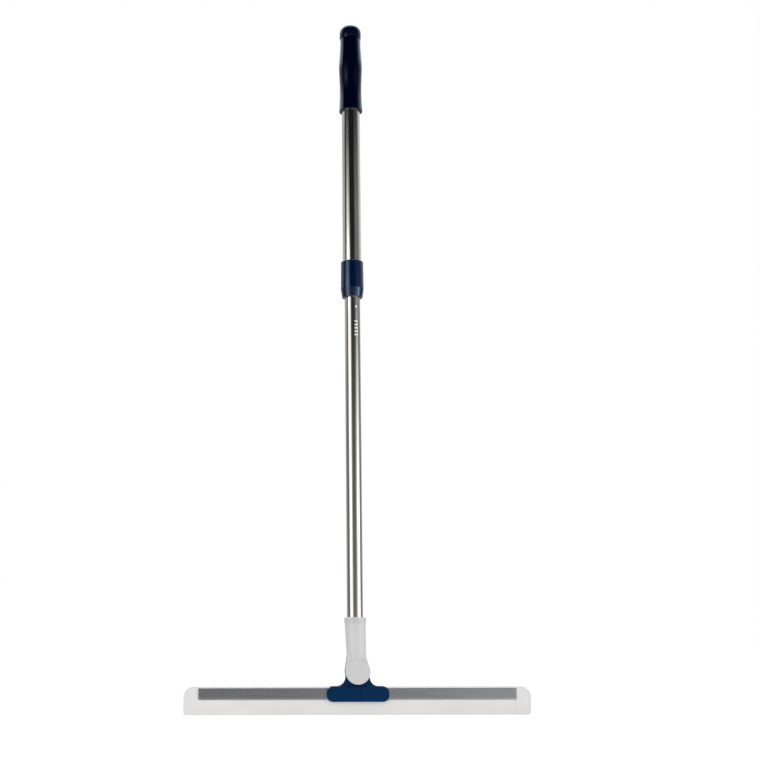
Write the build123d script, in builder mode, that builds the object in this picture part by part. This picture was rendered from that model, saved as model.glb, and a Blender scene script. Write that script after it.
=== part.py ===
from build123d import *

import os

# Telescopic window squeegee with a twist-lock pole and a swivelling head, in millimetres.
# The origin is the centre of the hang hole at the top of the pole, +Z runs up the pole,
# +X runs along the blade and -Y is the front. The pole is drawn out nearly to its stop.

# ---------------------------------------------------------------- fits
SLIP = 0.05  # radial gap of pieces that are pressed or glued together
RUN = 0.08  # radial gap of pieces that turn or slide on each other
SEAT = 0.05  # gap between flat faces that bear on each other
FREE = 0.4  # radial gap where pieces pass without touching
SPLIT = 1.6  # slot that lets a split ring close or open

# ---------------------------------------------------------------- pole tubes
OUTER_RADIUS = 12.5
OUTER_WALL = 0.6
OUTER_LENGTH = 346.0
INNER_RADIUS = 10.4
INNER_WALL = 0.5
INNER_LENGTH = 515.0
STOP_LEFT = 10.35  # travel left before the inner tube's plug meets the lock sleeve

# ---------------------------------------------------------------- end cap and grip
CAP_RISE = 15.5  # hang hole centre to the top of the dome
CAP_RADIUS = 15.1
CAP_RIM_RADIUS = 14.6
CAP_BULGE_RISE = 5.0  # hang hole centre to the widest part of the cap
CAP_SKIRT = 5.0  # hang hole centre down to the seam with the grip
DOME_FULLNESS = 0.62  # 0.55 makes the dome an ellipse, more makes its shoulder squarer
CAP_PLUG_LENGTH = 35.0
CAP_PLUG_WALL = 1.6
HANG_HOLE_RADIUS = 3.25
HANG_HOLE_LIP = 0.7
GRIP_LENGTH = 106.5
GRIP_NECK_RADIUS = 14.4
GRIP_BELLY_RADIUS = 16.0
GRIP_WAIST_RADIUS = 14.9
GRIP_FOOT_RADIUS = 16.1
GRIP_BELLY_DROP = 39.4  # seam down to the belly's widest part
GRIP_WAIST_DROP = 69.2  # seam down to the waist
GRIP_FLARE = 0.06  # outward slope of the grip at its foot
RIM_ROUND = 0.6  # rounding of the rims of the grip and its cap
TUBE_INSET = 1.0  # top of the outer tube below the seam

# ---------------------------------------------------------------- twist lock
THREAD_RADIUS = 12.72  # crest of the sleeve's thread, just proud of the outer tube
SLEEVE_SPIGOT = 22.0  # length of the sleeve inside the outer tube
SLEEVE_NOSE = 17.8  # length of the sleeve below the outer tube
SLEEVE_FLANGE = 2.0
CONE_LENGTH = 8.5
CONE_TOP_RADIUS = 11.15
CONE_FOOT_RADIUS = 11.95
CONE_TIP_GAP = 0.5
RING_FLANGE = 2.0
TAKE_UP = 1.2  # gap left for tightening between the ring's flange and the sleeve
LEDGE = 4.0  # thickness of the collar's bottom ledge
COLLAR_LENGTH = 50.2
COLLAR_TOP_RADIUS = 15.0
COLLAR_CREASE_RADIUS = 15.4
COLLAR_FOOT_RADIUS = 13.7
COLLAR_TAPER = 12.0  # height of the tapered foot
COLLAR_CREASE_ROUND = 14.0
COLLAR_SHOULDER = 1.4
COLLAR_LIP = 0.6

# ---------------------------------------------------------------- guide at the inner tube's top
GUIDE_WIDTH = 8.0
GUIDE_FLANGE = 2.0
GUIDE_GROOVE_RADIUS = 10.3
END_PLUG_DEPTH = 20.0

# ---------------------------------------------------------------- knuckle
SOCKET_RADIUS = 13.6
SOCKET_DEPTH = 36.0
SOCKET_LIP = 1.0
NECK_RADIUS = 12.5
NECK_SHIFT = 1.4  # sideways lean of the neck from the pole's axis towards the pivot
FORK_DEPTH = 21.6  # front to back over the fork, less than over the ears
FORK_CORNER = 3.0
FORK_BLEND = 15.0  # height over which the round neck turns into the square fork
FORK_TOP_WIDTH = 17.0  # where the fork's shoulders start, inside the neck
FORK_TOP_DEPTH = 15.0
PIVOT_SHIFT = 2.5  # pivot beside the pole's axis
PIVOT_DROP = 67.9  # socket mouth down to the pivot
EAR_RADIUS = 15.8
EAR_EDGE = 1.2
SLOT_GAP = 3.2  # roof of the slot to the tongue's side when the head is swung over
SLOT_CORNER = 1.5

# ---------------------------------------------------------------- pivot hardware
BOLT_RADIUS = 2.5
BOLT_HEAD_RADIUS = 4.6
BOLT_HEAD_HEIGHT = 2.0
BOLT_SLOT_WIDTH = 1.2
NUT_FLATS = 8.0
NUT_HEIGHT = 3.2
BUSH_RADIUS = 4.5
FRICTION_RADIUS = 11.0
FRICTION_THICKNESS = 0.8
WASHER_RADIUS = 5.4
WASHER_THICKNESS = 0.8
SPRING_THICKNESS = 1.0
SPRING_RADIUS = 4.3
SPRING_SLANT = 30.0  # degrees, slant of the cut through the spring washer
EAR_FLOOR = 2.0  # plastic left under the washer in the rear ear
EAR_FACE = 2.0  # plastic left over the bolt's tip in the front ear
CAP_DISC_RADIUS = 6.4
CAP_DISC_THICKNESS = 1.2
CAP_DISC_GAP = 0.2  # gap between the bolt's head and its cover disc

# ---------------------------------------------------------------- socket screw
SCREW_RADIUS = 1.5
SCREW_HEAD_RADIUS = 3.2
SCREW_HEAD_HEIGHT = 1.8
SCREW_RECESS = 0.9
SOCKET_SCREW_DROP = 18.0  # socket mouth down to its retaining screw
TUBE_PLUG_LENGTH = 27.0

# ---------------------------------------------------------------- head
PIVOT_TO_EDGE = 53.4  # pivot down to the blade's working edge
BLADE_LENGTH = 440.0
BLADE_HEIGHT = 34.6
BLADE_THICKNESS = 10.0
BLADE_EDGE_THICKNESS = 7.0
BLADE_TAPER = 12.0  # height over which the blade thins towards its edge
BLADE_EDGE_CHAMFER = 0.9
BLADE_TOP_CORNER = 12.0
BLADE_FOOT_CORNER = 4.0
BLADE_TOP_ROUND = 1.2
CHANNEL_LENGTH = 402.0
CHANNEL_FOOT = 19.0  # working edge up to the channel's lips
CHANNEL_HEIGHT = 14.7
CHANNEL_SHEET = 0.6
CHANNEL_THICKNESS = 10.4
CHANNEL_BEND = 1.1
CHANNEL_LIP_HEIGHT = 1.6
CHANNEL_LIP_BITE = 0.6
BAR_LENGTH = 79.4
BAR_CORNER = 8.2
BAR_WALL = 3.4
BAR_ROOF = 1.5
BAR_OVERHANG = 2.7  # bar below the channel's lips
BAR_EDGE = 1.1
TONGUE_HALF = 15.3  # half the tongue's width
TONGUE_RISE = 12.6  # pivot up to the top of the tongue
TONGUE_THICKNESS = 11.4
TONGUE_FLARE = 11.5
TONGUE_FOOT_FILLET = 1.7
CLAMP_SCREW_SPACING = 52.0
CLAMP_SCREW_FACE = 1.2  # plastic left over the tip of a clamp screw

# ---------------------------------------------------------------- heights worked out from these
seam = -CAP_SKIRT
grip_foot = seam - GRIP_LENGTH
outer_top = seam - TUBE_INSET
outer_foot = outer_top - OUTER_LENGTH
sleeve_foot = outer_foot - SLEEVE_NOSE
ring_flange_top = sleeve_foot - TAKE_UP
ring_foot = ring_flange_top - RING_FLANGE
ledge_top = ring_foot - SEAT
collar_foot = ledge_top - LEDGE
collar_top = collar_foot + COLLAR_LENGTH
inner_top = outer_foot + SLEEVE_SPIGOT + STOP_LEFT
inner_foot = inner_top - INNER_LENGTH
socket_top = inner_foot + SOCKET_DEPTH
pivot_z = socket_top - PIVOT_DROP
edge_z = pivot_z - PIVOT_TO_EDGE
slot_rise = TONGUE_HALF + SLOT_GAP  # pivot up to the roof of the slot
slot_roof = pivot_z + slot_rise
channel_foot = edge_z + CHANNEL_FOOT
channel_top = channel_foot + CHANNEL_HEIGHT
bar_foot = channel_foot - BAR_OVERHANG
bar_top = channel_top + BAR_ROOF
clamp_screw_z = (channel_foot + channel_top) / 2
socket_screw_z = socket_top - SOCKET_SCREW_DROP
groove_foot = inner_top + SEAT + GUIDE_FLANGE
groove_top = groove_foot + GUIDE_WIDTH + 2 * SEAT

outer_bore = OUTER_RADIUS - OUTER_WALL
inner_bore = INNER_RADIUS - INNER_WALL
collar_bore = THREAD_RADIUS + RUN
ear_inner = TONGUE_THICKNESS / 2 + FRICTION_THICKNESS + 2 * SEAT
bar_half = CHANNEL_THICKNESS / 2 + SEAT + BAR_WALL
recess_floor = ear_inner + EAR_FLOOR
washer_seat = recess_floor + SEAT
spring_seat = washer_seat + WASHER_THICKNESS + SEAT
head_seat = spring_seat + SPRING_THICKNESS + SEAT
ear_outer = head_seat + BOLT_HEAD_HEIGHT + CAP_DISC_GAP + CAP_DISC_THICKNESS + SEAT
bolt_clear = BOLT_RADIUS + SLIP
screw_clear = SCREW_RADIUS + SLIP
spot_face = SOCKET_RADIUS - SCREW_RECESS


def annulus(plane, outer, inner):
    """Ring-shaped sketch on a plane."""
    with BuildSketch(plane) as ring:
        Circle(outer)
        Circle(inner, mode=Mode.SUBTRACT)
    return ring.sketch


def pivot_plane(y):
    """Front view plane through the pivot at depth y; its normal points to the back."""
    return Plane(origin=(PIVOT_SHIFT, y, pivot_z), x_dir=(-1, 0, 0), z_dir=(0, 1, 0))


def socket_hole(y, radius):
    """Circle round the socket screw's axis at depth y; its normal points to the back."""
    with BuildSketch(Plane(origin=(0, y, socket_screw_z), z_dir=(0, 1, 0))) as hole:
        Circle(radius)
    return hole.sketch


def clamp_holes(y, radius):
    """Circles round the axes of the two clamp screws at depth y."""
    with BuildSketch(pivot_plane(y)) as holes:
        with Locations((0, clamp_screw_z - pivot_z)):
            with GridLocations(CLAMP_SCREW_SPACING, 1, 2, 1):
                Circle(radius)
    return holes.sketch


# ================================================================ upper pole
with BuildPart() as outer_tube:
    extrude(annulus(Plane.XY.offset(outer_foot), OUTER_RADIUS, outer_bore), amount=OUTER_LENGTH)

# Moulded grip: narrow neck, palm belly, waist and a flared foot
with BuildPart() as grip:
    with BuildSketch(Plane.XZ) as grip_half:
        with BuildLine():
            Spline(
                (GRIP_NECK_RADIUS, seam),
                (GRIP_BELLY_RADIUS, seam - GRIP_BELLY_DROP),
                (GRIP_WAIST_RADIUS, seam - GRIP_WAIST_DROP),
                (GRIP_FOOT_RADIUS, grip_foot),
                tangents=[(0, -1), (GRIP_FLARE, -1)],
            )
            Polyline(
                (GRIP_FOOT_RADIUS, grip_foot),
                (OUTER_RADIUS + SLIP, grip_foot),
                (OUTER_RADIUS + SLIP, seam),
                (GRIP_NECK_RADIUS, seam),
            )
        make_face()
        rims = grip_half.vertices().filter_by(lambda v: v.X > (OUTER_RADIUS + GRIP_NECK_RADIUS) / 2)
        fillet(rims, RIM_ROUND)
    revolve(axis=Axis.Z)

# Domed end cap with a hollow plug; the hang hole goes through from front to back
with BuildPart() as end_cap:
    with BuildSketch(Plane.XZ) as cap_half:
        with BuildLine():
            Bezier(
                (0, CAP_RISE),
                (DOME_FULLNESS * CAP_RADIUS, CAP_RISE),
                (CAP_RADIUS, CAP_BULGE_RISE + DOME_FULLNESS * (CAP_RISE - CAP_BULGE_RISE)),
                (CAP_RADIUS, CAP_BULGE_RISE),
            )
            TangentArc((CAP_RADIUS, CAP_BULGE_RISE), (CAP_RIM_RADIUS, seam + SEAT), tangent=(0, -1))
            Polyline(
                (CAP_RIM_RADIUS, seam + SEAT),
                (outer_bore - SLIP, seam + SEAT),
                (outer_bore - SLIP, seam - CAP_PLUG_LENGTH),
                (outer_bore - SLIP - CAP_PLUG_WALL, seam - CAP_PLUG_LENGTH),
                (outer_bore - SLIP - CAP_PLUG_WALL, seam),
                (0, seam),
                (0, CAP_RISE),
            )
        make_face()
        fillet(cap_half.vertices().filter_by_position(Axis.X, CAP_RIM_RADIUS, CAP_RIM_RADIUS), RIM_ROUND)
    revolve(axis=Axis.Z)
    with BuildSketch(Plane.XZ):
        Circle(HANG_HOLE_RADIUS)
    extrude(amount=2 * CAP_RADIUS, both=True, mode=Mode.SUBTRACT)
    hole_wall = end_cap.faces().filter_by(GeomType.CYLINDER).sort_by(SortBy.RADIUS)[0]
    mouths = hole_wall.edges().filter_by(lambda e: e.bounding_box().size.Y < HANG_HOLE_RADIUS)
    fillet(mouths, HANG_HOLE_LIP)

# Threaded sleeve glued into the outer tube, with a female cone in its nose
with BuildPart() as lock_sleeve:
    with BuildSketch(Plane.XZ):
        with BuildLine():
            Polyline(
                (INNER_RADIUS + SLIP + RUN, outer_foot + SLEEVE_SPIGOT),
                (outer_bore - SLIP, outer_foot + SLEEVE_SPIGOT),
                (outer_bore - SLIP, outer_foot - SEAT),
                (OUTER_RADIUS, outer_foot - SEAT),
                (OUTER_RADIUS, outer_foot - SLEEVE_FLANGE),
                (THREAD_RADIUS, outer_foot - SLEEVE_FLANGE),
                (THREAD_RADIUS, sleeve_foot),
                (CONE_FOOT_RADIUS, sleeve_foot),
                (CONE_TOP_RADIUS, sleeve_foot + CONE_LENGTH),
                (INNER_RADIUS + SLIP + RUN, sleeve_foot + CONE_LENGTH),
                close=True,
            )
        make_face()
    revolve(axis=Axis.Z)

# ================================================================ twist lock
# Split wedge ring: the collar pushes it up into the sleeve's cone, which closes it on the tube
with BuildPart() as clamp_ring:
    with BuildSketch(Plane.XZ):
        with BuildLine():
            Polyline(
                (INNER_RADIUS + SLIP, ring_foot),
                (CONE_FOOT_RADIUS + FREE, ring_foot),
                (CONE_FOOT_RADIUS + FREE, ring_flange_top),
                (CONE_FOOT_RADIUS - RUN, ring_flange_top),
                (CONE_FOOT_RADIUS - RUN, sleeve_foot),
                (CONE_TOP_RADIUS - RUN, sleeve_foot + CONE_LENGTH - CONE_TIP_GAP),
                (INNER_RADIUS + SLIP, sleeve_foot + CONE_LENGTH - CONE_TIP_GAP),
                close=True,
            )
        make_face()
    revolve(axis=Axis.Z)
    with BuildSketch(Plane.XY.offset(ring_foot)):
        Rectangle(2 * COLLAR_TOP_RADIUS, SPLIT, align=(Align.MIN, Align.CENTER))
    extrude(amount=COLLAR_LENGTH, mode=Mode.SUBTRACT)

with BuildPart() as lock_collar:
    with BuildSketch(Plane.XZ):
        with BuildLine():
            Polyline(
                (COLLAR_FOOT_RADIUS, collar_foot),
                (INNER_RADIUS + FREE, collar_foot),
                (INNER_RADIUS + FREE, ledge_top),
                (collar_bore, ledge_top),
                (collar_bore, collar_top),
                (COLLAR_TOP_RADIUS, collar_top),
                (COLLAR_CREASE_RADIUS, collar_foot + COLLAR_TAPER),
                close=True,
            )
        make_face()
    revolve(axis=Axis.Z)
    outer_rims = lock_collar.edges().filter_by(GeomType.CIRCLE)
    fillet(outer_rims.filter_by(lambda e: abs(e.radius - COLLAR_TOP_RADIUS) < 0.01), COLLAR_SHOULDER)
    outer_rims = lock_collar.edges().filter_by(GeomType.CIRCLE)
    fillet(outer_rims.filter_by(lambda e: abs(e.radius - COLLAR_CREASE_RADIUS) < 0.01), COLLAR_CREASE_ROUND)
    outer_rims = lock_collar.edges().filter_by(GeomType.CIRCLE)
    fillet(outer_rims.filter_by(lambda e: abs(e.radius - COLLAR_FOOT_RADIUS) < 0.01), COLLAR_LIP)

# ================================================================ lower pole
with BuildPart() as inner_tube:
    extrude(annulus(Plane.XY.offset(inner_foot), INNER_RADIUS, inner_bore), amount=INNER_LENGTH)
    extrude(socket_hole(0, screw_clear), amount=OUTER_RADIUS, mode=Mode.SUBTRACT)

# Plug in the inner tube's top, with the groove that carries the guide ring
with BuildPart() as inner_end_plug:
    with BuildSketch(Plane.XZ):
        with BuildLine():
            Polyline(
                (0, inner_top - END_PLUG_DEPTH),
                (inner_bore - SLIP, inner_top - END_PLUG_DEPTH),
                (inner_bore - SLIP, inner_top + SEAT),
                (outer_bore - FREE, inner_top + SEAT),
                (outer_bore - FREE, groove_foot),
                (GUIDE_GROOVE_RADIUS, groove_foot),
                (GUIDE_GROOVE_RADIUS, groove_top),
                (outer_bore - FREE, groove_top),
                (outer_bore - FREE, groove_top + GUIDE_FLANGE),
                (0, groove_top + GUIDE_FLANGE),
                close=True,
            )
        make_face()
    revolve(axis=Axis.Z)

with BuildPart() as guide_ring:
    extrude(
        annulus(Plane.XY.offset(groove_foot + SEAT), outer_bore - RUN, GUIDE_GROOVE_RADIUS + RUN),
        amount=GUIDE_WIDTH,
    )
    with BuildSketch(Plane.XY.offset(groove_foot)):
        Rectangle(2 * OUTER_RADIUS, SPLIT, align=(Align.MIN, Align.CENTER))
    extrude(amount=2 * GUIDE_WIDTH, mode=Mode.SUBTRACT)

# Plug in the inner tube's foot that gives the socket screw something to bite
with BuildPart() as tube_plug:
    with BuildSketch(Plane.XY.offset(inner_foot)):
        Circle(inner_bore - SLIP)
    extrude(amount=TUBE_PLUG_LENGTH)
    extrude(socket_hole(0, screw_clear), amount=INNER_RADIUS, mode=Mode.SUBTRACT)

# White knuckle: tapered socket, neck and a two-eared fork moulded in one piece
with BuildPart() as knuckle:
    neck_plane = Plane(origin=(NECK_SHIFT, 0, slot_roof))
    with BuildSketch(Plane.XY.offset(socket_top)):
        Circle(SOCKET_RADIUS)
    with BuildSketch(neck_plane):
        Circle(NECK_RADIUS)
    loft()
    with BuildSketch(neck_plane):
        Circle(NECK_RADIUS)
    extrude(amount=-slot_rise)
    # square fork: its shoulders grow out of the neck and spread to the width of the ears
    with BuildSketch(neck_plane.offset(FORK_BLEND)):
        RectangleRounded(FORK_TOP_WIDTH, FORK_TOP_DEPTH, FORK_CORNER)
    with BuildSketch(neck_plane):
        RectangleRounded(2 * NECK_RADIUS, FORK_DEPTH, FORK_CORNER)
    with BuildSketch(Plane(origin=(PIVOT_SHIFT, 0, pivot_z))):
        RectangleRounded(2 * EAR_RADIUS, FORK_DEPTH, FORK_CORNER)
    loft(ruled=True)
    with BuildSketch(pivot_plane(-ear_outer)):
        Circle(EAR_RADIUS)
    extrude(amount=2 * ear_outer)
    ear_rims = knuckle.edges().filter_by(GeomType.CIRCLE)
    fillet(ear_rims.filter_by(lambda e: abs(abs(e.center().Y) - ear_outer) < 0.01), EAR_EDGE)
    mouth = knuckle.edges().filter_by(GeomType.CIRCLE).sort_by(Axis.Z)[-1]
    fillet(mouth, SOCKET_LIP)
    # slot between the ears, open downwards
    with BuildSketch(Plane.YZ):
        with Locations((0, slot_roof)):
            slot = Rectangle(2 * ear_inner, 2 * slot_rise + EAR_RADIUS, align=(Align.CENTER, Align.MAX))
        fillet(slot.vertices().group_by(Axis.Y)[-1], SLOT_CORNER)
    extrude(amount=2 * EAR_RADIUS, both=True, mode=Mode.SUBTRACT)
    # bore for the pole
    with BuildSketch(Plane.XY.offset(inner_foot - SEAT)):
        Circle(INNER_RADIUS + SLIP)
    extrude(amount=2 * SOCKET_DEPTH, mode=Mode.SUBTRACT)
    # bolt hole, blind towards the front, and the recess for its head in the rear ear
    with BuildSketch(pivot_plane(-ear_outer + EAR_FACE)):
        Circle(bolt_clear)
    extrude(amount=2 * ear_outer, mode=Mode.SUBTRACT)
    with BuildSketch(pivot_plane(recess_floor)):
        Circle(CAP_DISC_RADIUS)
    extrude(amount=ear_outer, mode=Mode.SUBTRACT)
    # pocket that keeps the nut from turning, fed from the slot
    with BuildSketch(pivot_plane(-ear_inner)):
        RegularPolygon(NUT_FLATS / 2 + SLIP, 6, major_radius=False)
    extrude(amount=-NUT_HEIGHT - SEAT, mode=Mode.SUBTRACT)
    # spot face and hole of the socket screw
    extrude(socket_hole(spot_face, SCREW_HEAD_RADIUS + FREE), amount=SOCKET_RADIUS, mode=Mode.SUBTRACT)
    extrude(socket_hole(0, screw_clear), amount=SOCKET_RADIUS, mode=Mode.SUBTRACT)

with BuildPart() as socket_screw:
    extrude(socket_hole(spot_face + SEAT, SCREW_HEAD_RADIUS), amount=SCREW_HEAD_HEIGHT)
    dome = socket_screw.edges().filter_by(GeomType.CIRCLE).sort_by(Axis.Y)[-1]
    fillet(dome, SCREW_HEAD_HEIGHT / 2)
    extrude(socket_hole(SEAT, SCREW_RADIUS), amount=spot_face)

# ================================================================ pivot hardware
with BuildPart() as pivot_bolt:
    with BuildSketch(pivot_plane(head_seat)):
        Circle(BOLT_HEAD_RADIUS)
    extrude(amount=BOLT_HEAD_HEIGHT)
    dome = pivot_bolt.edges().filter_by(GeomType.CIRCLE).sort_by(Axis.Y)[-1]
    fillet(dome, BOLT_HEAD_HEIGHT / 2)
    with BuildSketch(pivot_plane(-ear_outer + EAR_FACE + SEAT)):
        Circle(BOLT_RADIUS)
    extrude(amount=head_seat + ear_outer - EAR_FACE)
    with BuildSketch(pivot_plane(head_seat + BOLT_HEAD_HEIGHT / 2)):
        Rectangle(2 * BOLT_HEAD_RADIUS, BOLT_SLOT_WIDTH)
    extrude(amount=BOLT_HEAD_HEIGHT, mode=Mode.SUBTRACT)

with BuildPart() as pivot_washer:
    extrude(annulus(pivot_plane(washer_seat), WASHER_RADIUS, bolt_clear), amount=WASHER_THICKNESS)

# Split spring washer, cut on the slant
with BuildPart() as spring_washer:
    extrude(annulus(pivot_plane(spring_seat), SPRING_RADIUS, bolt_clear), amount=SPRING_THICKNESS)
    with BuildSketch(Plane.YZ.offset(PIVOT_SHIFT)):
        with Locations((spring_seat + SPRING_THICKNESS / 2, pivot_z)):
            Rectangle(3 * SPRING_THICKNESS, SPLIT / 2, rotation=SPRING_SLANT)
    extrude(amount=2 * SPRING_RADIUS, mode=Mode.SUBTRACT)

with BuildPart() as pivot_nut:
    with BuildSketch(pivot_plane(-ear_inner)):
        RegularPolygon(NUT_FLATS / 2, 6, major_radius=False)
        Circle(bolt_clear, mode=Mode.SUBTRACT)
    extrude(amount=-NUT_HEIGHT)

with BuildPart() as friction_washers:
    for foot in (SEAT - ear_inner, ear_inner - SEAT - FRICTION_THICKNESS):
        extrude(annulus(pivot_plane(foot), FRICTION_RADIUS, bolt_clear), amount=FRICTION_THICKNESS)

with BuildPart() as pivot_cap:
    with BuildSketch(pivot_plane(ear_outer - SEAT)):
        Circle(CAP_DISC_RADIUS - SLIP)
    extrude(amount=-CAP_DISC_THICKNESS)

# ================================================================ head
with BuildPart() as pivot_bush:
    bush_ring = annulus(pivot_plane(-TONGUE_THICKNESS / 2), BUSH_RADIUS, BOLT_RADIUS + RUN)
    extrude(bush_ring, amount=TONGUE_THICKNESS)

# Bracket: a saddle over the channel with a round-topped tongue between the knuckle's ears.
# The front outline is extruded right through, then thinned to the side profile.
with BuildPart() as bracket:
    with BuildSketch(pivot_plane(0)) as outline:
        with Locations((0, (bar_top + bar_foot) / 2 - pivot_z)):
            RectangleRounded(BAR_LENGTH, bar_top - bar_foot, BAR_CORNER)
        with Locations((0, (bar_top - pivot_z) / 2)):
            Rectangle(2 * TONGUE_HALF, pivot_z - bar_top)
        Ellipse(TONGUE_HALF, TONGUE_RISE)
        armpits = outline.vertices().filter_by(lambda v: abs(abs(v.X) - TONGUE_HALF) < 0.01)
        fillet(armpits.sort_by(Axis.Y)[:2], TONGUE_FLARE)
    extrude(amount=bar_half, both=True)
    with BuildSketch(Plane.YZ):
        with BuildLine():
            Polyline(
                (0, bar_foot),
                (bar_half, bar_foot),
                (bar_half, bar_top),
                (TONGUE_THICKNESS / 2 + TONGUE_FOOT_FILLET, bar_top),
            )
            RadiusArc(
                (TONGUE_THICKNESS / 2 + TONGUE_FOOT_FILLET, bar_top),
                (TONGUE_THICKNESS / 2, bar_top + TONGUE_FOOT_FILLET),
                TONGUE_FOOT_FILLET,
            )
            Polyline(
                (TONGUE_THICKNESS / 2, bar_top + TONGUE_FOOT_FILLET),
                (TONGUE_THICKNESS / 2, pivot_z + TONGUE_RISE),
                (0, pivot_z + TONGUE_RISE),
                (0, bar_foot),
            )
        make_face()
        mirror(about=Plane.YZ)
    extrude(amount=BAR_LENGTH, both=True, mode=Mode.INTERSECT)
    bar_faces = bracket.faces().filter_by(Axis.Y).sort_by(Axis.Y)
    fillet(bar_faces[0].edges() + bar_faces[-1].edges(), BAR_EDGE)
    # saddle slot that takes the channel
    with BuildSketch(Plane.YZ):
        with Locations((0, bar_foot)):
            Rectangle(
                CHANNEL_THICKNESS + 2 * SEAT, channel_top + SEAT - bar_foot, align=(Align.CENTER, Align.MIN)
            )
    extrude(amount=BAR_LENGTH, both=True, mode=Mode.SUBTRACT)
    # bore of the pivot bush
    with BuildSketch(pivot_plane(0)):
        Circle(BUSH_RADIUS + SLIP)
    extrude(amount=bar_half, both=True, mode=Mode.SUBTRACT)
    # clamp screws: recesses in the rear wall, blind holes in the front wall
    extrude(clamp_holes(CLAMP_SCREW_FACE - bar_half, screw_clear), amount=2 * bar_half, mode=Mode.SUBTRACT)
    recess = clamp_holes(bar_half - SCREW_RECESS, SCREW_HEAD_RADIUS + FREE)
    extrude(recess, amount=bar_half, mode=Mode.SUBTRACT)

with BuildPart() as clamp_screws:
    extrude(clamp_holes(bar_half - SCREW_RECESS + SEAT, SCREW_HEAD_RADIUS), amount=SCREW_HEAD_HEIGHT)
    domes = clamp_screws.edges().filter_by(GeomType.CIRCLE).group_by(Axis.Y)[-1]
    fillet(domes, SCREW_HEAD_HEIGHT / 2)
    shank_length = 2 * bar_half - CLAMP_SCREW_FACE - SCREW_RECESS
    extrude(clamp_holes(CLAMP_SCREW_FACE + SEAT - bar_half, SCREW_RADIUS), amount=shank_length)

# Folded sheet channel; its lips are crimped inwards to bite into the foam
with BuildPart() as clamp_channel:
    sheet_half = (CHANNEL_THICKNESS - CHANNEL_SHEET) / 2
    with BuildSketch(Plane.YZ.offset(PIVOT_SHIFT)):
        with BuildLine():
            FilletPolyline(
                (CHANNEL_LIP_BITE - sheet_half, channel_foot),
                (-sheet_half, channel_foot + CHANNEL_LIP_HEIGHT),
                (-sheet_half, channel_top - CHANNEL_SHEET / 2),
                (sheet_half, channel_top - CHANNEL_SHEET / 2),
                (sheet_half, channel_foot + CHANNEL_LIP_HEIGHT),
                (sheet_half - CHANNEL_LIP_BITE, channel_foot),
                radius=CHANNEL_BEND,
            )
        trace(line_width=CHANNEL_SHEET)
    extrude(amount=CHANNEL_LENGTH / 2, both=True)
    extrude(clamp_holes(0, screw_clear), amount=CHANNEL_THICKNESS, both=True, mode=Mode.SUBTRACT)

# Foam blade: full section at its free ends, squeezed where the channel grips it
with BuildPart() as blade:
    foam_half = BLADE_THICKNESS / 2
    edge_half = BLADE_EDGE_THICKNESS / 2
    blade_top = edge_z + BLADE_HEIGHT
    with BuildSketch(Plane.YZ.offset(PIVOT_SHIFT)) as foam:
        with BuildLine():
            Polyline(
                (0, edge_z),
                (edge_half - BLADE_EDGE_CHAMFER, edge_z),
                (edge_half, edge_z + BLADE_EDGE_CHAMFER),
                (foam_half, edge_z + BLADE_TAPER),
                (foam_half, blade_top),
                (0, blade_top),
                close=True,
            )
        make_face()
        mirror(about=Plane.YZ)
        fillet(foam.vertices().group_by(Axis.Y)[-1], BLADE_TOP_ROUND)
    extrude(amount=BLADE_LENGTH / 2, both=True)
    with BuildSketch(pivot_plane(0)) as side:
        with Locations((0, edge_z - pivot_z)):
            Rectangle(BLADE_LENGTH, BLADE_HEIGHT, align=(Align.CENTER, Align.MIN))
        fillet(side.vertices().group_by(Axis.Y)[-1], BLADE_TOP_CORNER)
        fillet(side.vertices().group_by(Axis.Y)[0], BLADE_FOOT_CORNER)
    extrude(amount=BLADE_THICKNESS, both=True, mode=Mode.INTERSECT)
    # pocket that the channel fills round the squeezed foam
    core_half = sheet_half - CHANNEL_SHEET / 2 - SEAT
    lip_half = core_half - CHANNEL_LIP_BITE
    with BuildSketch(Plane.YZ.offset(PIVOT_SHIFT)):
        with Locations((0, channel_foot - CHANNEL_SHEET)):
            Rectangle(2 * BLADE_THICKNESS, BLADE_HEIGHT, align=(Align.CENTER, Align.MIN))
        with BuildLine():
            Polyline(
                (0, channel_foot - CHANNEL_SHEET),
                (lip_half, channel_foot - CHANNEL_SHEET),
                (lip_half, channel_foot),
                (core_half, channel_foot + CHANNEL_LIP_HEIGHT + CHANNEL_BEND),
                (core_half, channel_top - CHANNEL_SHEET - CHANNEL_BEND),
                (core_half - CHANNEL_BEND, channel_top - CHANNEL_SHEET - SEAT),
                (0, channel_top - CHANNEL_SHEET - SEAT),
                close=True,
            )
        squeezed = make_face(mode=Mode.PRIVATE)
        add(squeezed, mode=Mode.SUBTRACT)
        add(squeezed.mirror(Plane.YZ), mode=Mode.SUBTRACT)
    extrude(amount=CHANNEL_LENGTH / 2 + SEAT, both=True, mode=Mode.SUBTRACT)
    extrude(clamp_holes(0, screw_clear), amount=BLADE_THICKNESS, both=True, mode=Mode.SUBTRACT)

# ================================================================ files
pieces = {
    "outer_tube": outer_tube,
    "grip": grip,
    "end_cap": end_cap,
    "lock_sleeve": lock_sleeve,
    "clamp_ring": clamp_ring,
    "lock_collar": lock_collar,
    "inner_tube": inner_tube,
    "inner_end_plug": inner_end_plug,
    "guide_ring": guide_ring,
    "tube_plug": tube_plug,
    "knuckle": knuckle,
    "socket_screw": socket_screw,
    "pivot_bolt": pivot_bolt,
    "pivot_washer": pivot_washer,
    "spring_washer": spring_washer,
    "pivot_nut": pivot_nut,
    "friction_washers": friction_washers,
    "pivot_cap": pivot_cap,
    "pivot_bush": pivot_bush,
    "bracket": bracket,
    "clamp_screws": clamp_screws,
    "clamp_channel": clamp_channel,
    "blade": blade,
}

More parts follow.
